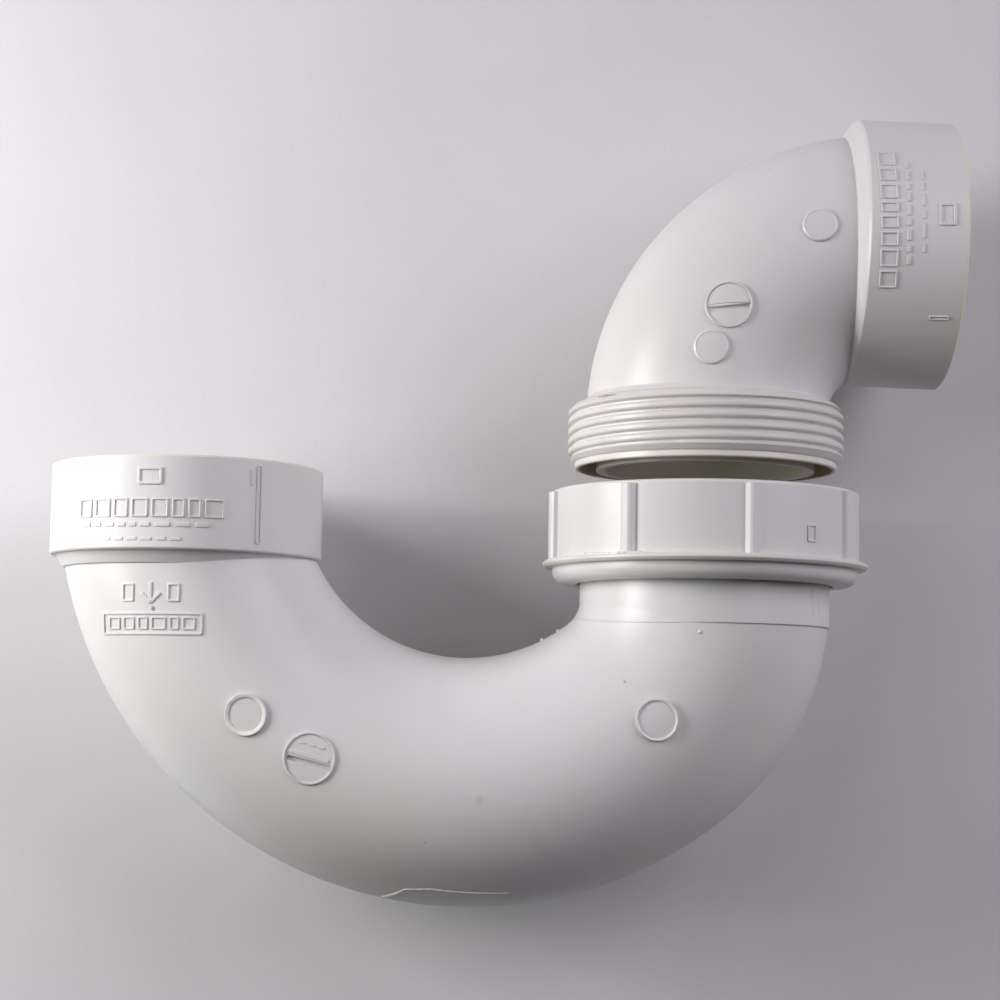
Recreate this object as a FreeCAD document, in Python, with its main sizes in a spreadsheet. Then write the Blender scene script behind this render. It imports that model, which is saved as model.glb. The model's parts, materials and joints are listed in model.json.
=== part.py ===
import FreeCAD, Part
import Sketcher
import math, os

# A 2 inch plastic drain trap lying on its side, all lengths in mm.
# Every part is drawn about the union axis: x across, y along the union axis
# (positive towards the open ends of the legs), z up from the floor.
# y = 0 is a datum near the top of the nut.

doc = FreeCAD.newDocument("p_trap")
sheet = doc.addObject("Spreadsheet::Sheet", "dims")
SIZES = [
    # where the assembly stands
    ("place_x", 51.79), ("place_y", 1.5), ("axis_high", 40.8),
    # return bend: two tangent arcs
    ("bend_one", 72.8), ("bend_two", 39.2), ("bend_cx", 59.7), ("bend_cy", 2.1),
    ("tube_in", 30.3), ("tube_out", 31.15), ("way_in", 26.0), ("way_out", 26.3),
    # inlet hub
    ("inlet_x", 130.7), ("hub_r", 33.9), ("hub_top", 6.5), ("hub_low", 16.1),
    ("socket_r", 30.2), ("socket_deep", 19.1), ("socket_lead", 0.8),
    ("root_r", 32.4), ("root_long", 3.0),
    # neck, flange and spigot
    ("neck_r", 31.3), ("neck_low", 31.1), ("flange_r", 33.3), ("flange_low", 16.9),
    ("flange_top", 13.9), ("spigot_top", 5.9), ("spigot_in", 27.9), ("spigot_low", 14.5),
    # washer
    ("seal_in", 31.6), ("seal_out", 33.2), ("seal_low", 13.85), ("seal_thick", 2.0),
    # nut
    ("nut_r", 38.6), ("nut_top", 2.5), ("nut_low", 20.8), ("nut_floor", 17.2),
    ("nut_hole", 32.2), ("nut_bore", 34.95), ("nut_tip", 33.85), ("lip_r", 40.8),
    ("lip_low", 16.7), ("lip_high", 15.1), ("bead_r", 3.0), ("bead_side", 38.3),
    ("rib_r", 40.3), ("rib_wide", 3.9), ("rib_top", 1.6), ("rib_turn", 11.7),
    # thread
    ("pitch", 2.54), ("thread_root", 33.55), ("thread_crest", 34.7),
    ("thread_y", 9.0), ("thread_long", 18.0),
    ("nut_turns", 8.0), ("nut_long", 16.9),
    # outlet arm
    ("rim_y", 8.4), ("pilot_r", 33.0), ("wall_in", 31.9), ("groove_deep", 9.5),
    ("nose_r", 27.5), ("nose_in", 25.0), ("nose_proud", 0.4), ("collar_y", 24.2),
    ("arm_r", 30.2), ("arm_y", 20.9), ("arm_bend", 43.9), ("arm_turn", 91.5),
    ("arm_way", 25.6), ("out_hub_r", 33.8), ("out_root", 12.0), ("out_near", 9.2), ("out_far", 15.1),
    # moulded discs
    ("pad_r", 5.0), ("disc_r", 6.2), ("small_r", 4.25), ("disc_s", 5.7), ("proud", 0.55), ("boss", 0.3),
    ("slot_wide", 1.1), ("slot_deep", 0.7),
]
size = {}
for row, (name, value) in enumerate(SIZES, 1):
    sheet.set("A%d" % row, name)
    sheet.set("B%d" % row, repr(value))
    sheet.setAlias("B%d" % row, name)
    size[name] = value
doc.recompute()


class V:
    """A length: its value now, and the same as an expression on the sheet."""
    def __init__(self, val, ex):
        self.val, self.ex = val, ex
    def _o(self, o):
        return o if isinstance(o, V) else V(float(o), "%.6f mm" % o)
    def __add__(self, o):
        o = self._o(o); return V(self.val + o.val, "(%s + %s)" % (self.ex, o.ex))
    def __sub__(self, o):
        o = self._o(o); return V(self.val - o.val, "(%s - %s)" % (self.ex, o.ex))
    def __neg__(self):
        return V(-self.val, "(0 mm - %s)" % self.ex)
    def __mul__(self, k):
        return V(self.val * k, "(%s * %.8f)" % (self.ex, k))
    __radd__ = __add__


def d(name):
    return V(size[name], "dims.%s * 1 mm" % name)


def n(value):
    return V(float(value), "%.6f mm" % value)


def bind(obj, prop, v):
    obj.setExpression(prop, v.ex)


def put(obj, x=None, y=None, z=None, rot=None):
    """Place an object, with its base bound to the sheet."""
    x, y, z = (v if isinstance(v, V) else n(v or 0) for v in (x, y, z))
    obj.Placement = FreeCAD.Placement(FreeCAD.Vector(x.val, y.val, z.val), rot or FreeCAD.Rotation())
    for axis, v in zip("xyz", (x, y, z)):
        if "dims" in v.ex:
            bind(obj, ".Placement.Base." + axis, v)
    return obj


def outline(name, points):
    """A closed outline in the XY plane whose corners are bound to the sheet."""
    sk = doc.addObject("Sketcher::SketchObject", name)
    c = len(points)
    for i in range(c):
        a, b = points[i], points[(i + 1) % c]
        sk.addGeometry(Part.LineSegment(FreeCAD.Vector(a[0].val, a[1].val, 0), FreeCAD.Vector(b[0].val, b[1].val, 0)), False)
    for i in range(c):
        sk.addConstraint(Sketcher.Constraint("Coincident", i, 2, (i + 1) % c, 1))
    for i, p in enumerate(points):
        for kind, v, on in (("DistanceX", p[0], -2), ("DistanceY", p[1], -1)):
            if abs(v.val) < 1e-9:
                sk.addConstraint(Sketcher.Constraint("PointOnObject", i, 1, on))
            elif v.val > 0:
                k = sk.addConstraint(Sketcher.Constraint(kind, -1, 1, i, 1, v.val))
                sk.setExpression("Constraints[%d]" % k, v.ex)
            else:
                k = sk.addConstraint(Sketcher.Constraint(kind, i, 1, -1, 1, -v.val))
                sk.setExpression("Constraints[%d]" % k, (-v).ex)
    return sk


def turned(name, points, base=(None, None), rot=None):
    """A solid of revolution about the y axis of its own outline."""
    sk = outline(name + "_outline", points)
    r = doc.addObject("Part::Revolution", name)
    r.Source = sk
    r.Axis = (0, 1, 0)
    r.Base = (0, 0, 0)
    r.Angle = 360
    r.Solid = True
    put(r, base[0], base[1], None, rot)
    return r


def fuse(name, shapes):
    f = doc.addObject("Part::MultiFuse", name)
    f.Shapes = shapes
    return f


def common(name, shapes):
    f = doc.addObject("Part::MultiCommon", name)
    f.Shapes = shapes
    return f


def cut(name, base, tool):
    f = doc.addObject("Part::Cut", name)
    f.Base, f.Tool = base, tool
    return f


def ring(name, r_in, r_out, low, high):
    return turned(name, [(r_in, low), (r_out, low), (r_out, high), (r_in, high)])


def drum(name, radius, low, high):
    z = n(0)
    return turned(name, [(z, low), (radius, low), (radius, high), (z, high)])


def ridge(name, start, long, half_section):
    """A helical ridge about the y axis, right handed, starting on +x. The section is given as radius and half width."""
    h = doc.addObject("Part::Helix", name + "_path")
    bind(h, "Pitch", d("pitch"))
    bind(h, "Height", long)
    bind(h, "Radius", d("thread_root"))
    h.Angle = 0
    h.LocalCoord = 0
    h.Style = 1
    h.SegmentLength = 1.0
    sk = outline(name + "_section", [(r, -w) for r, w in half_section[:1]] + [(r, w) for r, w in half_section]
                 + [(r, -w) for r, w in reversed(half_section[1:])])
    sk.Placement = FreeCAD.Placement(FreeCAD.Vector(0, 0, 0), FreeCAD.Rotation(FreeCAD.Vector(1, 0, 0), 90))
    s = doc.addObject("Part::Sweep", name)
    s.Sections = [sk]
    s.Spine = (h, ["Edge%d" % (i + 1) for i in range(max(1, EDGES(h)))])
    s.Solid = True
    s.Frenet = True
    put(s, None, start, None, FreeCAD.Rotation(FreeCAD.Vector(1, 0, 0), -90))
    return s


def EDGES(h):
    doc.recompute()
    return len(h.Shape.Edges)


zero = n(0)

# ---------------------------------------------------------------- return bend
u = size["bend_one"] - size["bend_two"]
lean = math.asin((size["bend_cx"] - size["bend_two"]) / u)
c1 = FreeCAD.Vector(-size["bend_cx"], size["bend_cy"], 0)
c2 = FreeCAD.Vector(-size["bend_two"], size["bend_cy"] - u * math.cos(lean), 0)
path = doc.addObject("Sketcher::SketchObject", "bend_path")
up = FreeCAD.Vector(0, 0, 1)
path.addGeometry(Part.ArcOfCircle(Part.Circle(c1, up, size["bend_one"]), math.pi, 1.5 * math.pi + lean), False)
path.addGeometry(Part.ArcOfCircle(Part.Circle(c2, up, size["bend_two"]), 1.5 * math.pi + lean, 2 * math.pi), False)
path.addConstraint(Sketcher.Constraint("Tangent", 0, 2, 1, 1))
for kind, args, v in (
        ("Radius", (0,), d("bend_one")), ("Radius", (1,), d("bend_two")),
        ("DistanceX", (0, 3, -1, 1), d("bend_cx")), ("DistanceY", (-1, 1, 0, 3), d("bend_cy"))):
    k = path.addConstraint(Sketcher.Constraint(kind, *args, v.val))
    path.setExpression("Constraints[%d]" % k, v.ex)
path.addConstraint(Sketcher.Constraint("Horizontal", 0, 1, 0, 3))
path.addConstraint(Sketcher.Constraint("Horizontal", 1, 2, 1, 3))
path.addConstraint(Sketcher.Constraint("PointOnObject", 1, 2, -2))
doc.recompute()
end_y = path.getPoint(1, 2).y


def bent(name, spine, edges, first, last, start, stop, turn):
    """A round bar along a path, its radius going from one value to the other."""
    out = []
    for k, (v, at, rot) in enumerate(((first, start, FreeCAD.Rotation(FreeCAD.Vector(1, 0, 0), 90)), (last, stop, turn))):
        c = doc.addObject("Part::Circle", "%s_end_%d" % (name, k))
        bind(c, "Radius", v)
        c.Placement = FreeCAD.Placement(at, rot)
        out.append(c)
    s = doc.addObject("Part::Sweep", name)
    s.Sections = out
    s.Spine = (spine, edges)
    s.Solid = True
    s.Frenet = False
    return s


first = FreeCAD.Vector(-size["bend_cx"] - size["bend_one"], size["bend_cy"], 0)
last = FreeCAD.Vector(0, end_y, 0)
tip = FreeCAD.Rotation(FreeCAD.Vector(1, 0, 0), 90)
tube = bent("bend_tube", path, ["Edge1", "Edge2"], d("tube_in"), d("tube_out"), first, last, tip)
way = bent("bend_way", path, ["Edge1", "Edge2"], d("way_in"), d("way_out"), first, last, tip)

inlet = -d("inlet_x")
hub = turned("inlet_hub", [
    (zero, -d("hub_low") - d("root_long")), (d("root_r") - 1.9, -d("hub_low") - d("root_long")),
    (d("root_r") - 1.0, -d("hub_low") - d("root_long") * 0.5), (d("root_r"), -d("hub_low")),
    (d("hub_r") - 0.4, -d("hub_low")), (d("hub_r"), -d("hub_low") + 0.4),
    (d("hub_r"), d("hub_top") - 0.4), (d("hub_r") - 0.4, d("hub_top")), (zero, d("hub_top"))], (inlet, None))
socket = turned("inlet_socket_cut", [
    (zero, d("hub_top") - d("socket_deep")), (d("socket_r"), d("hub_top") - d("socket_deep")),
    (d("socket_r"), d("hub_top") - d("socket_lead")), (d("socket_r") + d("socket_lead"), d("hub_top")),
    (d("socket_r") + d("socket_lead"), d("hub_top") + 4.0), (zero, d("hub_top") + 4.0)], (inlet, None))
neck = turned("neck_and_flange", [
    (zero, -d("neck_low")), (d("neck_r"), -d("neck_low")), (d("neck_r"), -d("flange_low")),
    (d("flange_r"), -d("flange_low")), (d("flange_r"), -d("flange_top")), (d("neck_r"), -d("flange_top")),
    (d("neck_r"), -d("spigot_top") - 0.8), (d("neck_r") - 0.8, -d("spigot_top")), (zero, -d("spigot_top"))])
mouth = turned("neck_way_cut", [
    (zero, n(end_y - 0.01)), (d("way_out"), n(end_y - 0.01)), (d("way_out"), -d("spigot_low") - 1.6),
    (d("spigot_in"), -d("spigot_low")), (d("spigot_in"), -d("spigot_top") - 0.5),
    (d("spigot_in") + 0.5, -d("spigot_top")), (d("spigot_in") + 0.5, n(1)), (zero, n(1))])


def torus(name, big, small, cx, cy):
    t = doc.addObject("Part::Torus", name)
    bind(t, "Radius1", big)
    bind(t, "Radius2", small)
    put(t, cx, cy)
    return t


def post(name, radius, x, y, low=24.0, tall=12.0):
    c = doc.addObject("Part::Cylinder", name)
    bind(c, "Radius", radius)
    c.Height = tall
    put(c, n(x), n(y), n(low))
    return c


def bar(name, x, y, turn, long, z_top, deep):
    b = doc.addObject("Part::Box", name)
    b.Length = long
    bind(b, "Width", d("slot_wide"))
    b.Height = 6
    rot = FreeCAD.Rotation(FreeCAD.Vector(0, 0, 1), turn)
    off = rot.multVec(FreeCAD.Vector(-long / 2.0, -size["slot_wide"] / 2.0, 0))
    b.Placement = FreeCAD.Placement(FreeCAD.Vector(x + off.x, y + off.y, z_top - deep), rot)
    return b


def rim(name, radius, x, y, wall):
    """The raised round rim that a mould pin leaves, before it is trimmed to the skin."""
    return cut(name, post(name + "_out", radius, x, y), post(name + "_in", radius - wall, x, y, 23.0, 14.0))


# marks of the mould's pins on the bend, low bosses with a fine raised edge: two plain, one with a slot across it
def skin_one(name, more):
    return torus(name, d("bend_one"), d("tube_in") + 0.25 + more, -d("bend_cx"), d("bend_cy"))


def skin_two(name, more):
    return torus(name, d("bend_two"), d("tube_out") - 0.05 + more, -d("bend_two"), n(end_y))


pads = [
    common("bend_edges_one", [
        fuse("bend_rims_one", [rim("bend_rim_a", d("pad_r"), -111.0, -54.8, 0.5), rim("bend_rim_b", d("disc_r"), -95.7, -64.8, 0.45)]),
        skin_one("bend_skin_high_one", d("proud"))]),
    common("bend_bosses_one", [
        fuse("bend_posts_one", [post("bend_post_a", d("pad_r") - 0.2, -111.0, -54.8), post("bend_post_b", d("disc_r") - 0.2, -95.7, -64.8)]),
        skin_one("bend_skin_low_one", d("boss"))]),
    common("bend_edge_two", [rim("bend_rim_c", d("pad_r"), -13.8, -54.3, 0.5), skin_two("bend_skin_high_two", d("proud"))]),
    common("bend_boss_two", [post("bend_post_c", d("pad_r") - 0.2, -13.8, -54.3), skin_two("bend_skin_low_two", d("boss"))])]
slot_one = bar("bend_slot", -95.7, -65.8, -13.3, 10.8, 30.6, 1.0)

bend_solid = fuse("bend_solid", [tube, hub, neck] + pads)
bend_open = fuse("bend_open", [way, socket, mouth, slot_one])
trap_bend = cut("trap_bend", bend_solid, bend_open)

# --------------------------------------------------------------------- washer
union_washer = ring("union_washer", d("seal_in"), d("seal_out"), -d("seal_low"), -d("seal_low") + d("seal_thick"))

# ------------------------------------------------------------------------ nut
bead = []
for k in range(7):
    a = math.radians(-90 + 15 * k)
    bead.append((d("bead_side") - d("bead_r") * (1 - math.cos(a)), -d("nut_low") + d("bead_r") * (1 + math.sin(a))))
nut_shell = turned("nut_shell", [
    (d("nut_hole"), -d("nut_low"))] + bead + [
    (d("bead_side"), -d("lip_low") - 0.1), (d("lip_r") - 0.6, -d("lip_low")), (d("lip_r"), -d("lip_low") + 0.6),
    (d("lip_r"), -d("lip_high") - 0.5), (d("lip_r") - 0.5, -d("lip_high")), (d("nut_r"), -d("lip_high") + 0.1),
    (d("nut_r"), d("nut_top") - 0.7), (d("nut_r") - 0.2, d("nut_top") - 0.2), (d("nut_r") - 0.7, d("nut_top")),
    (d("nut_bore") + 0.3, d("nut_top")), (d("nut_bore") + 0.1, d("nut_top") - 0.3), (d("nut_tip"), d("nut_top") - 1.6),
    (d("nut_tip"), n(-9.9)), (d("nut_bore") + 0.1, n(-11.4)), (d("nut_bore") + 0.1, -d("nut_floor")), (d("nut_hole"), -d("nut_floor"))])
ribs = []
half = d("rib_wide") * 0.5
for k in range(8):
    sk = outline("rib_%d_outline" % k, [
        (d("nut_r") - 1.0, -half - 0.2), (d("nut_r") + 0.1, -half), (d("rib_r") - 0.75, -half + 0.25), (d("rib_r") - 0.25, -half + 0.75),
        (d("rib_r"), -half + 1.35), (d("rib_r"), half - 1.35), (d("rib_r") - 0.25, half - 0.75), (d("rib_r") - 0.75, half - 0.25),
        (d("nut_r") + 0.1, half), (d("nut_r") - 1.0, half + 0.2)])
    sk.Placement = FreeCAD.Placement(FreeCAD.Vector(0, 0, 0), FreeCAD.Rotation(FreeCAD.Vector(1, 0, 0), 90))
    e = doc.addObject("Part::Extrusion", "rib_%d" % k)
    e.Base = sk
    e.DirMode = "Custom"
    e.Dir = (0, 1, 0)
    e.Solid = True
    bind(e, "LengthFwd", d("lip_high") + 0.3 + d("rib_top"))
    # azimuth is counted about +y from +x; the ribs are set from the top of the lying nut
    put(e, None, -d("lip_high") - 0.3, None, FreeCAD.Rotation(FreeCAD.Vector(0, 1, 0), -90 + size["rib_turn"] + 45 * k))
    ribs.append(e)
nut_groove = ridge("nut_thread_groove", d("thread_y") - d("pitch") * size["nut_turns"], d("nut_long"),
                   [(d("nut_tip") - 0.4, n(1.21)), (d("nut_bore"), n(0.695))])
nut_cut = cut("nut_threaded", nut_shell, nut_groove)
union_nut = fuse("union_nut", [nut_cut] + ribs)

# ----------------------------------------------------------------- outlet arm
arm_c = FreeCAD.Vector(size["arm_bend"], size["arm_y"], 0)
turn = math.radians(size["arm_turn"])
arm_path = doc.addObject("Sketcher::SketchObject", "arm_path")
arm_path.addGeometry(Part.ArcOfCircle(Part.Circle(arm_c, up, size["arm_bend"]), math.pi - turn, math.pi), False)
for kind, args, v in (
        ("Radius", (0,), d("arm_bend")), ("DistanceX", (-1, 1, 0, 3), d("arm_bend")), ("DistanceY", (-1, 1, 0, 3), d("arm_y"))):
    k = arm_path.addConstraint(Sketcher.Constraint(kind, *args, v.val))
    arm_path.setExpression("Constraints[%d]" % k, v.ex)
arm_path.addConstraint(Sketcher.Constraint("Horizontal", 0, 2, 0, 3))
k = arm_path.addConstraint(Sketcher.Constraint("Angle", 0, turn))
arm_path.setExpression("Constraints[%d]" % k, "dims.arm_turn * 1 deg")
doc.recompute()
out_at = arm_path.getPoint(0, 1)
out_lean = size["arm_turn"] - 90.0        # the outlet falls by this many degrees
out_dir = FreeCAD.Vector(math.cos(math.radians(out_lean)), -math.sin(math.radians(out_lean)), 0)
out_rot = FreeCAD.Rotation(FreeCAD.Vector(0, 0, 1), -90 - out_lean)   # y axis on to the outlet axis


def elbow(name, radius):
    t = doc.addObject("Part::Torus", name)
    bind(t, "Radius1", d("arm_bend"))
    bind(t, "Radius2", radius)
    t.setExpression("Angle3", "dims.arm_turn * 1 deg")
    put(t, d("arm_bend"), d("arm_y"), None, FreeCAD.Rotation(FreeCAD.Vector(0, 0, 1), 180.0 - size["arm_turn"]))
    return t


arm_tube = elbow("arm_tube", d("arm_r"))
arm_way = elbow("arm_way_bend", d("arm_way"))
collar = turned("thread_collar", [
    (zero, d("rim_y")), (d("pilot_r") - 0.3, d("rim_y")), (d("pilot_r"), d("rim_y") + 0.3), (d("pilot_r"), d("rim_y") + 1.6),
    (d("thread_root") - 0.1, d("rim_y") + 1.8), (d("thread_crest"), d("rim_y") + 3.2), (d("thread_crest"), d("collar_y") - 1.2),
    (d("thread_root"), d("collar_y")), (d("thread_root") - 0.3, d("collar_y") + 0.3),
    (d("arm_r") + 0.9, d("collar_y") + 1.1), (d("arm_r") + 0.1, d("collar_y") + 2.0), (d("arm_r") - 0.6, d("collar_y") + 3.2),
    (d("arm_r") - 1.4, d("collar_y") + 4.0), (zero, d("collar_y") + 4.0)])
arm_groove = ridge("arm_thread_groove", d("thread_y") - d("pitch") * 0.5, d("thread_long"),
                   [(d("thread_root"), n(0.25)), (d("thread_crest") - 0.21, n(0.575)), (d("thread_crest") + 0.08, n(1.09))])
arm_cut = cut("arm_threaded", collar, arm_groove)
groove = ring("arm_groove_cut", d("nose_r"), d("wall_in"), d("rim_y") - 1.0, d("rim_y") + d("groove_deep"))
nose = ring("arm_nose", d("nose_in") - 1.0, d("nose_r"), d("rim_y") - d("nose_proud"), d("rim_y") + 1.0)
arm_mouth = turned("arm_mouth_cut", [
    (zero, n(-3)), (d("nose_in") + 0.6, n(-3)), (d("nose_in") + 0.6, d("rim_y") - d("nose_proud")),
    (d("nose_in"), d("rim_y") - d("nose_proud") + 0.6), (d("nose_in"), d("rim_y") + 8.0), (d("arm_way"), d("rim_y") + 11.0),
    (d("arm_way"), d("arm_y") + 0.01), (zero, d("arm_y") + 0.01)])
out_hub = turned("outlet_hub", [
    (zero, -d("out_root") - 1.4), (d("arm_r") - 2.2, -d("out_root") - 1.4), (d("arm_r") - 0.9, -d("out_root")),
    (d("out_hub_r") - 0.5, -d("out_near")), (d("out_hub_r"), -d("out_near") + 0.6),
    (d("out_hub_r"), d("out_far") - 0.4), (d("out_hub_r") - 0.4, d("out_far")), (zero, d("out_far"))],
    (n(out_at.x), n(out_at.y)), out_rot)
out_socket = turned("outlet_socket_cut", [
    (zero, n(-5.2)), (d("arm_way"), n(-5.2)), (d("arm_way"), d("out_far") - d("socket_deep")), (d("socket_r"), d("out_far") - d("socket_deep")),
    (d("socket_r"), d("out_far") - d("socket_lead")), (d("socket_r") + d("socket_lead"), d("out_far")),
    (d("socket_r") + d("socket_lead"), d("out_far") + 4.0), (zero, d("out_far") + 4.0)],
    (n(out_at.x), n(out_at.y)), out_rot)
arm_pads = [
    common("arm_tops", [
        fuse("arm_top_posts", [post("arm_top_a", d("small_r") - 0.35, 24.5, 65.6), post("arm_top_b", d("small_r") - 0.35, -1.6, 35.2),
                               rim("arm_rim_c", d("disc_s"), 2.6, 45.6, 0.4)]),
        torus("arm_skin_high", d("arm_bend"), d("arm_r") + d("proud"), d("arm_bend"), d("arm_y"))]),
    common("arm_bosses", [
        fuse("arm_posts", [post("arm_post_a", d("small_r"), 24.5, 65.6), post("arm_post_b", d("small_r"), -1.6, 35.2),
                           post("arm_post_c", d("disc_s") - 0.2, 2.6, 45.6)]),
        torus("arm_skin_low", d("arm_bend"), d("arm_r") + d("boss"), d("arm_bend"), d("arm_y"))])]
slot_two = bar("arm_slot", 2.6, 44.8, 6.5, 10.2, 30.1, 0.8)
arm_solid = fuse("arm_solid", [arm_tube, arm_cut, out_hub] + arm_pads)
arm_hollow = cut("arm_hollow", arm_solid, groove)
arm_nosed = fuse("arm_nosed", [arm_hollow, nose])
arm_open = fuse("arm_open", [arm_way, arm_mouth, out_socket, slot_two])
trap_arm = cut("trap_arm", arm_nosed, arm_open)

# ------------------------------------------------- place, check and write out
NODES = [trap_bend, trap_arm, union_nut, union_washer]
for node in NODES:
    put(node, d("place_x"), d("place_y"), d("axis_high"))
doc.recompute()
for o in doc.Objects:
    if "Invalid" in o.State or "Error" in o.State:
        raise SystemExit("%s did not build: %s" % (o.Label, o.State))
    if hasattr(o, "Shape") and (o.Shape.isNull() or not o.Shape.isValid()):
        raise SystemExit("%s has a bad shape" % o.Label)
os.makedirs("parts", exist_ok=True)
whole = FreeCAD.BoundBox()
for node in NODES:
    if len(node.Shape.Solids) != 1:
        raise SystemExit("%s is %d solids" % (node.Label, len(node.Shape.Solids)))
    node.Shape.exportStep("parts/%s.step" % node.Label)
    whole.add(node.Shape.BoundBox)
    print("%-14s %9.0f mm3  %s" % (node.Label, node.Shape.Volume, node.Shape.BoundBox))
print("whole", whole, "centre", whole.Center)
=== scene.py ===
import bpy, bmesh, json, math, random
from mathutils import Vector, Matrix
from mathutils.bvhtree import BVHTree


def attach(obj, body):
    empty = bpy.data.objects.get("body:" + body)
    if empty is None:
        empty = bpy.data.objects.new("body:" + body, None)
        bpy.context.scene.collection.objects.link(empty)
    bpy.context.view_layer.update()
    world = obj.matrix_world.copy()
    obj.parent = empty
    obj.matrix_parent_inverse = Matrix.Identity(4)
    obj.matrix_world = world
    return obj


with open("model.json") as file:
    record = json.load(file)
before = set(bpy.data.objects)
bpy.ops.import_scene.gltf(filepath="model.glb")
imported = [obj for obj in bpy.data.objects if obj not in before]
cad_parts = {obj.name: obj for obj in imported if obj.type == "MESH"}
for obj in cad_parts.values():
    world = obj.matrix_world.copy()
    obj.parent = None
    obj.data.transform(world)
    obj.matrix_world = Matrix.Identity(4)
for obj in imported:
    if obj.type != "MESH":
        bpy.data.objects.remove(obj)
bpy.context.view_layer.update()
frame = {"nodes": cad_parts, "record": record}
MM = 0.001
rng = random.Random(7)

# ------------------------------------------------------------ where things are
# The joint's own position gives the union axis; everything else is counted from it.
swivel = [j for j in frame["record"]["behaviour"]["joints"] if j["name"] == "arm_swivel"][0]["pos_m"]
UX, UY, UZ = (c * 1000 for c in swivel)
nodes = frame["nodes"]


def P(x, y, z=0.0):
    """A point given in mm from the union axis, in metres in the row frame."""
    return Vector(((UX + x) * MM, (UY + y) * MM, (UZ + z) * MM))


dg = bpy.context.evaluated_depsgraph_get()
trees = {k: BVHTree.FromObject(nodes[k], dg) for k in ("trap_bend", "trap_arm", "union_nut")}


def drop(node, x, y, from_z=1.0):
    """The point of the node's upper surface over a frame point (m), with its normal."""
    hit, nor, _, _ = trees[node].ray_cast(Vector((x, y, from_z)), Vector((0, 0, -1)))
    return hit, nor


# ------------------------------------------------------------------- materials
class Mat:
    def __init__(self, name):
        self.m = bpy.data.materials.new(name)
        self.m.use_nodes = True
        self.t = self.m.node_tree
        self.t.nodes.clear()
        self.out = self.t.nodes.new("ShaderNodeOutputMaterial")
        self.b = self.t.nodes.new("ShaderNodeBsdfPrincipled")
        self.t.links.new(self.b.outputs["BSDF"], self.out.inputs["Surface"])
        self.co = self.t.nodes.new("ShaderNodeTexCoord").outputs["Object"]

    def link(self, a, b):
        self.t.links.new(a, b)

    def node(self, kind, **kw):
        n = self.t.nodes.new(kind)
        for k, v in kw.items():
            setattr(n, k, v)
        return n

    def mapped(self, scale=(1, 1, 1), rot=(0, 0, 0), loc=(0, 0, 0)):
        n = self.node("ShaderNodeMapping")
        n.inputs["Scale"].default_value = scale
        n.inputs["Rotation"].default_value = rot
        n.inputs["Location"].default_value = loc
        self.link(self.co, n.inputs["Vector"])
        return n.outputs["Vector"]

    def noise(self, scale, detail=3.0, rough=0.5, vec=None, dist=0.0):
        n = self.node("ShaderNodeTexNoise")
        n.inputs["Scale"].default_value = scale
        n.inputs["Detail"].default_value = detail
        n.inputs["Roughness"].default_value = rough
        n.inputs["Distortion"].default_value = dist
        self.link(vec or self.co, n.inputs["Vector"])
        return n.outputs["Fac"]

    def ramp(self, fac, a, b, va=0.0, vb=1.0):
        n = self.node("ShaderNodeMapRange", interpolation_type="SMOOTHSTEP")
        n.inputs["From Min"].default_value = a
        n.inputs["From Max"].default_value = b
        n.inputs["To Min"].default_value = va
        n.inputs["To Max"].default_value = vb
        self.link(fac, n.inputs["Value"])
        return n.outputs["Result"]

    def math(self, op, a, b=None):
        n = self.node("ShaderNodeMath", operation=op)
        for k, v in ((0, a), (1, b)):
            if v is None:
                continue
            if isinstance(v, (int, float)):
                n.inputs[k].default_value = v
            else:
                self.link(v, n.inputs[k])
        return n.outputs[0]

    def mix(self, fac, a, b):
        n = self.node("ShaderNodeMix", data_type="RGBA")
        if isinstance(fac, (int, float)):
            n.inputs[0].default_value = fac
        else:
            self.link(fac, n.inputs[0])
        for k, v in ((6, a), (7, b)):
            if isinstance(v, tuple):
                n.inputs[k].default_value = (*v, 1.0)
            else:
                self.link(v, n.inputs[k])
        return n.outputs[2]

    def bump(self, height, distance, strength=1.0, normal=None):
        n = self.node("ShaderNodeBump")
        n.inputs["Strength"].default_value = strength
        n.inputs["Distance"].default_value = distance
        self.link(height, n.inputs["Height"])
        if normal is not None:
            self.link(normal, n.inputs["Normal"])
        return n.outputs["Normal"]

    def xyz(self):
        s = self.node("ShaderNodeSeparateXYZ")
        self.link(self.co, s.inputs[0])
        return s.outputs

    def along(self, point, direction):
        """Distance in metres along a direction from a point."""
        sub = self.node("ShaderNodeVectorMath", operation="SUBTRACT")
        self.link(self.co, sub.inputs[0])
        sub.inputs[1].default_value = tuple(point)
        dot = self.node("ShaderNodeVectorMath", operation="DOT_PRODUCT")
        self.link(sub.outputs[0], dot.inputs[0])
        dot.inputs[1].default_value = tuple(direction)
        return dot.outputs["Value"]

    def radius(self, point, direction):
        """Distance in metres from an axis."""
        sub = self.node("ShaderNodeVectorMath", operation="SUBTRACT")
        self.link(self.co, sub.inputs[0])
        sub.inputs[1].default_value = tuple(point)
        crs = self.node("ShaderNodeVectorMath", operation="CROSS_PRODUCT")
        self.link(sub.outputs[0], crs.inputs[0])
        crs.inputs[1].default_value = tuple(direction)
        ln = self.node("ShaderNodeVectorMath", operation="LENGTH")
        self.link(crs.outputs[0], ln.inputs[0])
        return ln.outputs["Value"]


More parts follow.
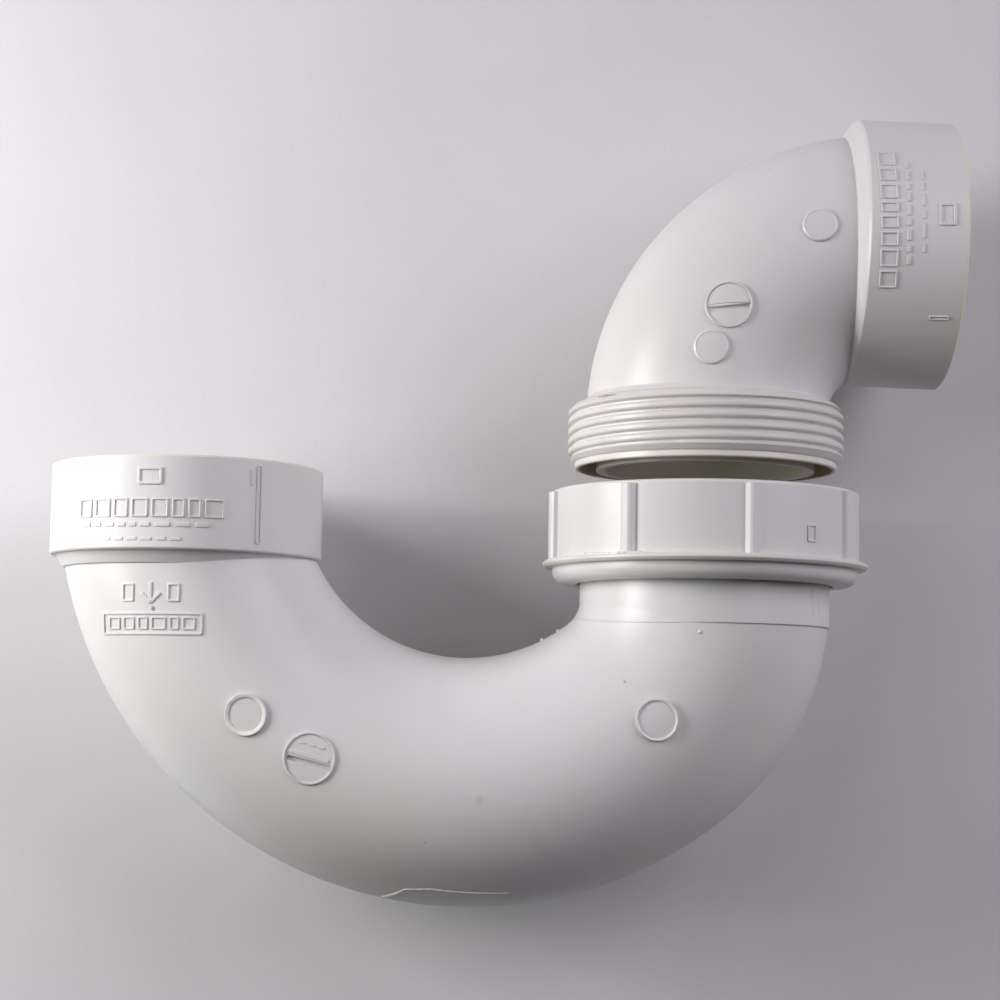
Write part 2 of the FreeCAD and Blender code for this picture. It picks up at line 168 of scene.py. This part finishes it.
def pvc(name, base=(0.735, 0.73, 0.722), warm=(0.745, 0.72, 0.675), cool=(0.69, 0.695, 0.71), rough=0.38, seed=0.0, wear=1.0, tints=()):
    """White moulded PVC: flow haze, fine pebble, faint sink waviness, specks, scuffs, aged edges and, through the tints
    given, painted shade in bores.
    """
    m = Mat(name)
    off = (seed, seed * 0.7, -seed * 0.4)
    v = m.mapped(loc=off)
    cloud = m.noise(17.0, 3.0, 0.55, v)
    haze = m.noise(62.0, 4.0, 0.6, v)
    grain = m.noise(430.0, 3.0, 0.6, v)
    col = m.mix(m.ramp(cloud, 0.38, 0.66, 0.0, 0.75), base, warm)
    col = m.mix(m.ramp(haze, 0.36, 0.78, 0.0, 0.4), col, cool)
    col = m.mix(m.ramp(grain, 0.55, 0.9, 0.0, 0.22), col, (0.70, 0.69, 0.67))
    # sparse dark specks and a few brown ones, as dust moulded in
    vor = m.node("ShaderNodeTexVoronoi", feature="F1")
    vor.inputs["Scale"].default_value = 105.0
    vor.inputs["Randomness"].default_value = 1.0
    m.link(v, vor.inputs["Vector"])
    spot = m.ramp(vor.outputs["Distance"], 0.022, 0.04, 1.0, 0.0)
    sep = m.node("ShaderNodeSeparateColor")
    m.link(vor.outputs["Color"], sep.inputs[0])
    few = m.ramp(sep.outputs[0], 0.93, 0.94)
    speck = m.math("MULTIPLY", spot, few)
    col = m.mix(m.math("MULTIPLY", speck, 0.75), col, (0.22, 0.17, 0.11))
    # fine handling scratches: long thin noise in two directions
    s1 = m.noise(1.0, 2.0, 0.5, m.mapped(scale=(70, 1500, 400), rot=(0.1, 0.2, 0.5 + seed), loc=off))
    s2 = m.noise(1.0, 2.0, 0.5, m.mapped(scale=(1300, 60, 500), rot=(0.2, 0.1, -0.35 + seed), loc=off))
    where = m.ramp(m.noise(26.0, 2.0, 0.5, v), 0.52, 0.66)
    scr = m.math("MULTIPLY", m.math("ADD", m.ramp(s1, 0.66, 0.74), m.ramp(s2, 0.67, 0.75)), where)
    col = m.mix(m.math("MULTIPLY", scr, 0.05), col, (0.62, 0.61, 0.59))
    # The tints lay aged rims, stains and painted shade in bores over the colour.
    for mask, tint in (t(m) for t in tints):
        col = m.mix(mask, col, tint)
    m.link(col, m.b.inputs["Base Color"])
    r = m.math("ADD", m.ramp(haze, 0.3, 0.75, rough - 0.04, rough + 0.07), m.math("MULTIPLY", scr, 0.05))
    m.link(r, m.b.inputs["Roughness"])
    m.b.inputs["IOR"].default_value = 1.53
    m.b.inputs["Specular IOR Level"].default_value = 0.5
    m.b.inputs["Coat Weight"].default_value = 0.08
    m.b.inputs["Coat Roughness"].default_value = 0.28
    m.b.inputs["Subsurface Weight"].default_value = 0.06
    m.b.inputs["Subsurface Radius"].default_value = (1.0, 0.8, 0.6)
    m.b.inputs["Subsurface Scale"].default_value = 0.0015
    bev = m.node("ShaderNodeBevel", samples=4)
    bev.inputs["Radius"].default_value = 0.00035
    n = m.bump(m.noise(20.0, 1.0, 0.4, v), 0.0008, 0.3 * wear, bev.outputs["Normal"])
    n = m.bump(m.noise(950.0, 2.0, 0.5, v), 0.000035, 0.5, n)
    n = m.bump(m.math("MULTIPLY", scr, -1.0), 0.00001, 0.3, n)
    m.link(n, m.b.inputs["Normal"])
    return m.m


YA = (0.0, 1.0, 0.0)
TILT = math.radians(1.5)
OUT = (math.cos(TILT), -math.sin(TILT), 0.0)
OUT_C = P(43.9 + 43.9 * math.sin(TILT), 20.9 + 43.9 * math.cos(TILT))     # centre of the outlet, where the bend ends


def rim_tint(point, direction, low, high, colour, amount, r_min=None):
    """Ageing on a band between two distances along an axis."""
    def make(m):
        a = m.along(point, direction)
        k = m.math("MULTIPLY", m.ramp(a, (low - 0.25) * MM, low * MM), m.ramp(a, high * MM, (high + 0.25) * MM, 1.0, 0.0))
        k = m.math("MULTIPLY", k, m.ramp(m.noise(140.0, 4.0, 0.6), 0.36, 0.6, amount * 0.35, amount))
        if r_min is not None:
            k = m.math("MULTIPLY", k, m.ramp(m.radius(point, direction), (r_min - 0.1) * MM, (r_min + 0.1) * MM))
        return k, colour
    return make


def bore_shade_and_residue(point, direction, r_max, low, high, colour, amount):
    """Painted shade, partly residue tint, on an inner wall: a darker, warmer colour inside a radius and between two
    distances along an axis.
    """
    def make(m):
        a = m.along(point, direction)
        k = m.math("MULTIPLY", m.ramp(a, low * MM, (low + 1.0) * MM), m.ramp(a, (high - 4) * MM, high * MM, 1.0, 0.0))
        k = m.math("MULTIPLY", k, m.ramp(m.radius(point, direction), (r_max - 0.2) * MM, r_max * MM, 1.0, 0.0))
        k = m.math("MULTIPLY", k, m.ramp(m.noise(55.0, 4.0, 0.6), 0.25, 0.7, amount * 0.7, amount))
        return k, colour
    return make


def spot(node, x, y, r, colour, amount, z=None):
    """A small tinted patch around a point of a surface, used for stains and for the darker patch along the collar's
    dark line.
    """
    def make(m):
        p = P(x, y)
        q = P(x, y, z) if z is not None else drop(node, p.x, p.y)[0]
        d = m.node("ShaderNodeVectorMath", operation="DISTANCE")
        m.link(m.co, d.inputs[0])
        d.inputs[1].default_value = tuple(q)
        k = m.ramp(d.outputs["Value"], r * 0.45 * MM, r * MM, 1.0, 0.0)
        k = m.math("MULTIPLY", k, m.ramp(m.noise(900.0, 3.0, 0.6), 0.25, 0.6, amount * 0.4, amount))
        return k, colour
    return make


bend_m = pvc("white_pvc_bend", seed=0.13, tints=(
    rim_tint(P(-130.7, 0), YA, 5.9, 6.8, (0.80, 0.76, 0.62), 0.55),
    # inlet socket's inner wall: painted shade, partly residue tint
    bore_shade_and_residue(P(-130.7, 0), YA, 30.6, -13.0, 6.0, (0.66, 0.62, 0.50), 0.5),
    spot("trap_bend", -55.3, -73.8, 1.3, (0.60, 0.52, 0.30), 0.45),
    spot("trap_bend", -21.4, -45.5, 0.5, (0.30, 0.27, 0.22), 0.7),
    spot("trap_bend", -133.85, -30.1, 0.75, (0.36, 0.13, 0.06), 0.9)))
arm_m = pvc("white_pvc_arm", seed=0.41, tints=(
    rim_tint(OUT_C, OUT, 14.4, 15.4, (0.80, 0.75, 0.55), 0.9, 29.0),
    rim_tint(P(0, 0), YA, 7.6, 9.6, (0.81, 0.77, 0.62), 0.7),
    rim_tint(P(0, 0), YA, 9.6, 24.5, (0.79, 0.775, 0.70), 0.35),
    # groove inside the mouth: painted shade with a painted warm reflection; nose bore: painted shade, partly residue
    # tint
    bore_shade_and_residue(P(0, 0), YA, 32.2, 8.1, 20.0, (0.66, 0.52, 0.36), 0.8),
    bore_shade_and_residue(P(0, 0), YA, 27.3, 8.6, 29.0, (0.66, 0.66, 0.50), 0.85),
    # darker grey-brown patch around the thin dark line on the collar
    spot("trap_arm", -26.3, 24.15, 1.6, (0.55, 0.50, 0.42), 0.5, 21.0)))
nut_m = pvc("white_pvc_nut", base=(0.72, 0.715, 0.705), seed=0.77, tints=(
    rim_tint(P(0, 0), YA, 1.8, 2.8, (0.80, 0.775, 0.66), 0.5),
    rim_tint(P(0, 0), YA, -16.9, -14.9, (0.82, 0.795, 0.68), 0.45)))
mark_m = pvc("white_pvc_marks", base=(0.75, 0.742, 0.72), rough=0.3, seed=0.3, wear=0.4)
# Dark brown copy of the PVC for the thin dark line on the collar.
dark_line_m = pvc("dark_line_pvc", base=(0.22, 0.19, 0.15), warm=(0.28, 0.22, 0.14), cool=(0.18, 0.17, 0.16), rough=0.55, seed=0.6, wear=0.3)
# Lighter, glossier copy of the PVC for raised flash, burrs and pin rims: a painted highlight on these thin edges.
flash_highlight_m = pvc("white_pvc_flash_painted_highlight", base=(0.84, 0.83, 0.80), warm=(0.86, 0.83, 0.75), rough=0.2, seed=0.9, wear=0.3)


def rubber(name):
    m = Mat(name)
    n1, n2 = m.noise(70.0, 4.0, 0.6), m.noise(900.0, 3.0, 0.6)
    col = m.mix(m.ramp(n1, 0.3, 0.7), (0.018, 0.018, 0.019), (0.045, 0.044, 0.042))
    m.link(m.mix(m.ramp(n2, 0.6, 0.85, 0.0, 0.4), col, (0.09, 0.088, 0.083)), m.b.inputs["Base Color"])
    m.link(m.ramp(n1, 0.3, 0.7, 0.55, 0.75), m.b.inputs["Roughness"])
    m.link(m.bump(n2, 0.00006, 0.6), m.b.inputs["Normal"])
    return m.m


seal_m = rubber("black_rubber")


def paint(obj, mat):
    obj.data.materials.clear()
    obj.data.materials.append(mat)


for node, mat in (("trap_bend", bend_m), ("trap_arm", arm_m), ("union_nut", nut_m), ("union_washer", seal_m)):
    o = nodes[node]
    if not o.material_slots:
        o.data.materials.append(mat)
    for s in o.material_slots:
        s.material = mat

# ------------------------------------------------- small moulded-in raised marks
def finish_mesh(bm, name, body, mat, smooth=35.0, bevel=None):
    me = bpy.data.meshes.new(name)
    bm.normal_update()
    bm.to_mesh(me)
    bm.free()
    o = bpy.data.objects.new(name, me)
    bpy.context.scene.collection.objects.link(o)
    me.materials.append(mat)
    for p in me.polygons:
        p.use_smooth = True
    if bevel:
        b = o.modifiers.new("soft_edges", "BEVEL")
        b.width = bevel
        b.segments = 2
        b.limit_method = "ANGLE"
        b.angle_limit = math.radians(40)
    me.set_sharp_from_angle(angle=math.radians(smooth))
    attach(o, body)
    return o


def relief(name, node, body, shapes, high=0.35, sink=0.3, grid=0.8, mat=None):
    """Flat outlines (mm, from the union axis) laid on a node's upper surface and raised from it. Each may have a hole."""
    bm = bmesh.new()
    for outer, inner in shapes:
        flat = bmesh.new()
        a = [flat.verts.new((x, y, 0)) for x, y in outer]
        if inner:
            b = [flat.verts.new((x, y, 0)) for x, y in inner]
            n = len(a)
            for i in range(n):
                flat.faces.new((a[i], a[(i + 1) % n], b[(i + 1) % n], b[i]))
        else:
            flat.faces.new(a)
        xs, ys = [p[0] for p in outer], [p[1] for p in outer]
        for axis, low, top in ((0, min(xs), max(xs)), (1, min(ys), max(ys))):
            k = low + grid
            while k < top - 0.2:
                co = (k, 0, 0) if axis == 0 else (0, k, 0)
                no = (1, 0, 0) if axis == 0 else (0, 1, 0)
                bmesh.ops.bisect_plane(flat, geom=flat.verts[:] + flat.edges[:] + flat.faces[:], plane_co=co, plane_no=no, dist=1e-5)
                k += grid
        flat.verts.ensure_lookup_table()
        flat.normal_update()
        flip = sum(f.normal.z for f in flat.faces) < 0
        top, bot = {}, {}
        ok = True
        for v in flat.verts:
            p = P(v.co.x, v.co.y)
            hit, nor = drop(node, p.x, p.y)
            if hit is None or nor.z < 0.15:
                ok = False
                break
            top[v] = bm.verts.new(hit + nor * high * MM)
            bot[v] = bm.verts.new(hit - nor * sink * MM)
        if ok:
            for f in flat.faces:
                vs = list(f.verts)
                if flip:
                    vs.reverse()
                bm.faces.new([top[v] for v in vs])
                bm.faces.new([bot[v] for v in reversed(vs)])
            for e in flat.edges:
                if len(e.link_faces) == 1:
                    f = e.link_faces[0]
                    vs = list(f.verts)
                    if flip:
                        vs.reverse()
                    i = vs.index(e.verts[0])
                    u, w = (e.verts[0], e.verts[1]) if vs[(i + 1) % len(vs)] is e.verts[1] else (e.verts[1], e.verts[0])
                    bm.faces.new((top[w], top[u], bot[u], bot[w]))
        flat.free()
    bmesh.ops.recalc_face_normals(bm, faces=bm.faces[:])
    return finish_mesh(bm, name, body, mat or mark_m, bevel=0.00012)


def rect(cx, cy, w, h, turn=0.0, r=0.25, k=3):
    """A rounded rectangle's corner points."""
    pts = []
    r = min(r, w / 2 - 0.01, h / 2 - 0.01)
    for qx, qy, a0 in ((1, 1, 0), (-1, 1, 90), (-1, -1, 180), (1, -1, 270)):
        for i in range(k + 1):
            a = math.radians(a0 + 90 * i / k)
            pts.append((qx * (w / 2 - r) + r * math.cos(a), qy * (h / 2 - r) + r * math.sin(a)))
    t = math.radians(turn)
    return [(cx + x * math.cos(t) - y * math.sin(t), cy + x * math.sin(t) + y * math.cos(t)) for x, y in pts]


def framed(cx, cy, w, h, line, turn=0.0, r=0.6):
    return (rect(cx, cy, w, h, turn, r), rect(cx, cy, w - 2 * line, h - 2 * line, turn, max(0.05, r - line)))


def bars(x0, x1, y, h, count, seed, vertical=False, gap=0.35):
    """A row of plain blocks of uneven width, standing for small moulded characters."""
    g = random.Random(seed)
    ws = [g.uniform(0.6, 1.3) for _ in range(count)]
    total = sum(ws)
    span = (x1 - x0)
    out, at = [], x0
    for w in ws:
        w = w / total * span
        c, l = at + w / 2, w * (1 - gap)
        out.append((rect(y, c, h, l, 0, 0.12, 2) if vertical else rect(c, y, l, h, 0, 0.12, 2), None))
        at += w
    return out


def ridge_line(name, node, body, points, wide=0.3, high=0.22, step=0.6, mat=None, uneven=0.0, seed=1):
    """A thin raised line laid along a path (mm, from the union axis), each point moved to the node's nearest surface."""
    g = random.Random(seed)
    way = [Vector(P(*p)) for p in points]
    dense = []
    for a, b in zip(way, way[1:]):
        n = max(1, int((b - a).length / (step * MM)))
        dense += [a.lerp(b, i / n) for i in range(n)]
    dense.append(way[-1])
    near = [trees[node].find_nearest(p)[:2] for p in dense]
    bm = bmesh.new()
    rings = []
    for i, (q, n) in enumerate(near):
        t = (near[min(i + 1, len(near) - 1)][0] - near[max(i - 1, 0)][0]).normalized()
        side = n.cross(t).normalized()
        end = min(1.0, min(i, len(near) - 1 - i) / 2.0)
        h = high * MM * (0.15 + 0.85 * end) * (1 - uneven * g.random())
        w = wide * MM * (0.35 + 0.65 * end) * (1 - 0.5 * uneven * g.random())
        rings.append([bm.verts.new(q + side * (w * c) + n * k) for c, k in ((-0.5, -0.25 * MM), (-0.5, h * 0.55), (0.0, h), (0.5, h * 0.55), (0.5, -0.25 * MM))])
    for a, b in zip(rings, rings[1:]):
        for k in range(5):
            bm.faces.new((a[k], a[(k + 1) % 5], b[(k + 1) % 5], b[k]))
    bm.faces.new(rings[0])
    bm.faces.new(list(reversed(rings[-1])))
    bmesh.ops.recalc_face_normals(bm, faces=bm.faces[:])
    return finish_mesh(bm, name, body, mat or mark_m, smooth=50.0)


def nub(name, node, body, spots, mat=None):
    """Small rounded lumps of flash: each is (x, y, z, radius, stretch) and sits on the nearest surface."""
    bm = bmesh.new()
    for x, y, z, r, k in spots:
        q, n = trees[node].find_nearest(P(x, y, z))[:2]
        turn = n.to_track_quat("Z", "Y").to_matrix().to_4x4()
        m4 = Matrix.Translation(q + n * (0.05 * r * MM)) @ turn @ Matrix.Diagonal((r * MM, r * k * MM, r * 0.7 * MM, 1.0))
        bmesh.ops.create_icosphere(bm, subdivisions=2, radius=1.0, matrix=m4)
    return finish_mesh(bm, name, body, mat or mark_m, smooth=60.0)


def circle(cx, cy, r, n=32):
    return [(cx + r * math.cos(2 * math.pi * i / n), cy + r * math.sin(2 * math.pi * i / n)) for i in range(n)]


def boxes(x0, x1, y, h, count, seed, line=0.42, vertical=False, gap=0.9):
    """A row of small open frames of uneven width, standing for larger moulded characters."""
    g = random.Random(seed)
    ws = [g.uniform(0.75, 1.25) for _ in range(count)]
    k = (x1 - x0 - gap * (count - 1)) / sum(ws)
    out, at = [], x0
    for w in ws:
        c = at + w * k / 2
        out.append(framed(y, c, h, w * k, line, 0, 0.3) if vertical else framed(c, y, w * k, h, line, 0, 0.3))
        at += w * k + gap
    return out


# The small relief on each piece. Where the real mouldings carry words, plain frames, dashes and blank plates stand instead.
relief("inlet_row_a", "trap_bend", "return_bend", boxes(-152.6, -117.4, -6.3, 4.5, 8, 3), 0.3, grid=1.6)
relief("inlet_row_b", "trap_bend", "return_bend", bars(-152.2, -120.0, -10.3, 1.0, 9, 4, gap=0.3), 0.22, grid=1.2)
relief("inlet_row_c", "trap_bend", "return_bend", bars(-147.0, -126.6, -13.7, 0.8, 6, 5, gap=0.3), 0.16, grid=1.2)
relief("inlet_hub_size_mark", "trap_bend", "return_bend", [framed(-134.9, 1.3, 6.0, 4.2, 0.7, 0, 0.4)], 0.32)
relief("inlet_hub_mould_line", "trap_bend", "return_bend", [
    framed(-109.8, -4.6, 1.2, 19.0, 0.3, 0, 0.4), (rect(-111.4, 2.0, 0.5, 4.0), None)], 0.3)
ridge_line("inlet_parting_line", "trap_bend", "return_bend", [(-96.8, 5.2, 1.3), (-96.8, -14.6, 1.3)], 0.7, 0.3)
relief("inlet_arrow", "trap_bend", "return_bend", [
    (rect(-134.6, -26.0, 0.9, 4.4), None),
    (rect(-135.75, -27.45, 3.4, 0.85, -45), None), (rect(-133.45, -27.45, 3.4, 0.85, 45), None),
    framed(-140.2, -26.2, 3.0, 4.4, 0.5, 0, 0.3), framed(-129.0, -26.2, 3.0, 4.4, 0.5, 0, 0.3)], 0.28)
relief("inlet_blank_plate", "trap_bend", "return_bend",
       [framed(-134.4, -33.6, 25.2, 5.3, 0.5, 0)] + boxes(-145.2, -123.6, -33.5, 3.0, 6, 9, 0.36), 0.26, grid=1.6)
# outlet hub
relief("outlet_row_a", "trap_arm", "outlet_arm", boxes(50.2, 84.2, 40.7, 4.3, 8, 6, vertical=True), 0.3, grid=1.6)
relief("outlet_row_b", "trap_arm", "outlet_arm", bars(55.0, 81.6, 45.4, 1.0, 9, 7, True, 0.3), 0.22, grid=1.2)
relief("outlet_row_c", "trap_arm", "outlet_arm", bars(57.9, 79.3, 49.0, 0.8, 6, 8, True, 0.3), 0.16, grid=1.2)
relief("outlet_hub_size_mark", "trap_arm", "outlet_arm", [framed(54.7, 67.8, 4.2, 5.6, 0.7, 0, 0.4)], 0.32)
relief("outlet_hub_tick", "trap_arm", "outlet_arm", [framed(53.9, 43.8, 4.8, 0.9, 0.25, 0, 0.2)], 0.26)
# nut
relief("nut_cavity_mark", "union_nut", "coupling_nut", [framed(22.55, -9.5, 2.4, 4.2, 0.5, 0, 0.3)], 0.28, grid=0.5)
# rims of the pin marks, in the lighter copy as painted highlight, and the slotted inserts
relief("bend_pin_rims", "trap_bend", "return_bend", [
    (circle(-111.0, -54.8, 4.97), circle(-111.0, -54.8, 4.05)), (circle(-13.8, -54.3, 4.97), circle(-13.8, -54.3, 4.4))], 0.2, grid=1.2, mat=flash_highlight_m)
relief("arm_pin_rims", "trap_arm", "outlet_arm", [
    (circle(24.5, 65.6, 4.2), circle(24.5, 65.6, 3.65)), (circle(-1.6, 35.2, 4.2), circle(-1.6, 35.2, 3.65))], 0.12, grid=1.2, mat=flash_highlight_m)
relief("bend_insert_bar", "trap_bend", "return_bend", [(rect(-95.75, -64.2, 9.8, 1.0, -15), None)] + [
    (rect(-95.1 + 2.3 * k, -61.7 - 0.62 * k, 1.6, 0.5, -15), None) for k in (-1, 0, 1)], 0.13, grid=1.2)
relief("arm_insert_bar", "trap_arm", "outlet_arm", [(rect(2.55, 45.75, 9.6, 0.9, 6.5), None)], 0.16, grid=1.2)
# moulding flash, gate scars and small knocks; the flash, burrs and nubs in the lighter copy as painted highlight
ridge_line("neck_seam", "trap_bend", "return_bend", [
    (31.3 * math.sin(math.radians(a)), -31.15, 31.3 * math.cos(math.radians(a))) for a in range(-84, -13, 5)], 0.4, 0.09, 1.0)
ridge_line("bend_flash_line", "trap_bend", "return_bend",
           [(-79.5, -98.7, 6.9), (-73.07, -96.06, 15.94), (-67.0, -95.84, 17.31), (-47.7, -96.6, 15.6)], 0.5, 0.4, 0.6, flash_highlight_m, 0.5, 11)
nub("bend_flash_nubs", "trap_bend", "return_bend", [
    (-40.8, -34.5, 0, 0.7, 1.3), (-37.1, -32.0, 0, 0.6, 1.5), (-38.9, -33.2, 0.5, 0.35, 1.6), (-34.8, -30.0, 0.6, 0.3, 1.4), (-3.95, -33.4, 31.0, 0.45, 1.0)], flash_highlight_m)
ridge_line("thread_start", "trap_arm", "outlet_arm", [(-11.0, 11.95, 31.7), (-4.45, 12.1, 33.3), (5.1, 12.06, 33.2)], 0.6, 0.15, 0.8, flash_highlight_m)
ridge_line("collar_flash", "trap_arm", "outlet_arm", [(-4.3, 25.4, 30.6), (0.9, 25.0, 31.2), (5.1, 24.7, 32.2)], 0.4, 0.2, 0.6, flash_highlight_m, 0.4, 5)
# A thin dark brown raised line on the collar, with the darker patch around it on the arm.
ridge_line("collar_dark_line", "trap_arm", "outlet_arm", [(-28.2, 24.25, 18.2), (-26.3, 24.2, 21.0), (-24.0, 24.1, 23.7)], 0.35, 0.12, 0.5, dark_line_m, 0.4, 8)
ridge_line("nut_lip_burr", "union_nut", "coupling_nut", [
    (-31.8, -15.0, 24.8), (-28.3, -14.95, 28.6), (-24.9, -14.95, 31.6), (-20.8, -14.95, 34.3), (-17.5, -14.95, 36.1)], 0.7, 0.5, 0.5, flash_highlight_m, 0.85, 4)
ridge_line("neck_scratch_a", "trap_bend", "return_bend", [(24.4, -21.0, 19.9), (24.6, -29.0, 19.4)], 0.2, 0.07, 0.8, uneven=0.6, seed=3)
ridge_line("neck_scratch_b", "trap_bend", "return_bend", [(26.2, -23.0, 17.5), (26.7, -28.5, 16.8)], 0.2, 0.07, 0.8, uneven=0.6, seed=6)

# --------------------------------------------------------------------- floor
bm = bmesh.new()
bmesh.ops.create_grid(bm, x_segments=40, y_segments=40, size=1.6)
me = bpy.data.meshes.new("floor")
bm.to_mesh(me)
bm.free()
floor = bpy.data.objects.new("floor", me)
bpy.context.scene.collection.objects.link(floor)
fm = Mat("pale_floor")
fc = fm.mix(fm.ramp(fm.noise(9.0, 4.0, 0.6), 0.3, 0.7), (0.675, 0.668, 0.67), (0.715, 0.708, 0.712))
fm.link(fm.mix(fm.ramp(fm.noise(900.0, 2.0, 0.5), 0.4, 0.8, 0.0, 0.25), fc, (0.62, 0.612, 0.62)), fm.b.inputs["Base Color"])
fm.link(fm.ramp(fm.noise(120.0, 3.0, 0.5), 0.3, 0.7, 0.5, 0.62), fm.b.inputs["Roughness"])
fm.link(fm.bump(fm.noise(1100.0, 2.0, 0.5), 0.00005, 0.4), fm.b.inputs["Normal"])
me.materials.append(fm.m)

# --------------------------------------------------------------------- light
world = bpy.data.worlds.new("room")
bpy.context.scene.world = world
world.use_nodes = True
bg = world.node_tree.nodes["Background"]
bg.inputs["Color"].default_value = (0.95, 0.97, 1.0, 1.0)
bg.inputs["Strength"].default_value = 0.02


def area(name, pos, aim, size, power, colour=(1, 1, 1), size_y=None):
    l = bpy.data.lights.new(name, "AREA")
    l.shape = "RECTANGLE"
    l.size = size
    l.size_y = size_y or size
    l.energy = power
    l.color = colour
    o = bpy.data.objects.new(name, l)
    o.location = pos
    o.rotation_euler = (Vector(aim) - Vector(pos)).to_track_quat("-Z", "Y").to_euler()
    bpy.context.scene.collection.objects.link(o)
    return o


area("key_window", (-0.4368, 0.1335, 0.2334), (0, 0, 0.03), 0.2, 1.55, (1.0, 0.97, 1.01))
area("low_window", (-0.5563, 0.0, 0.2548), (0, 0, 0.03), 0.2, 1.3, (0.985, 1.01, 0.96))
area("high_window", (-0.4078, 0.1902, 0.8094), (0, 0, 0.03), 0.4, 0.95, (1.0, 0.91, 1.0))
area("room_fill", (0.8513, 0.4915, 0.7183), (0, 0, 0.03), 0.9, 8.35, (0.99, 0.94, 1.03))

# -------------------------------------------------------------------- camera
T = P(-51.79, 0.14)
tilt, far, roll = math.radians(5.5), 0.5293, math.radians(1.0)
fw = Vector((0, math.sin(tilt), -math.cos(tilt)))
right = Vector((1, 0, 0))
upv = right.cross(fw)
r2 = right * math.cos(roll) + upv * math.sin(roll)
u2 = upv * math.cos(roll) - right * math.sin(roll)
cam_d = bpy.data.cameras.new("camera")
cam_d.sensor_width = 36.0
cam_d.lens = 36.0 * 2.09
cam_d.clip_start = 0.01
cam = bpy.data.objects.new("camera", cam_d)
bpy.context.scene.collection.objects.link(cam)
m3 = Matrix((r2, u2, -fw)).transposed()
cam.matrix_world = Matrix.Translation(T - fw * far) @ m3.to_4x4()
bpy.context.scene.camera = cam
bpy.context.scene.view_settings.view_transform = "Standard"
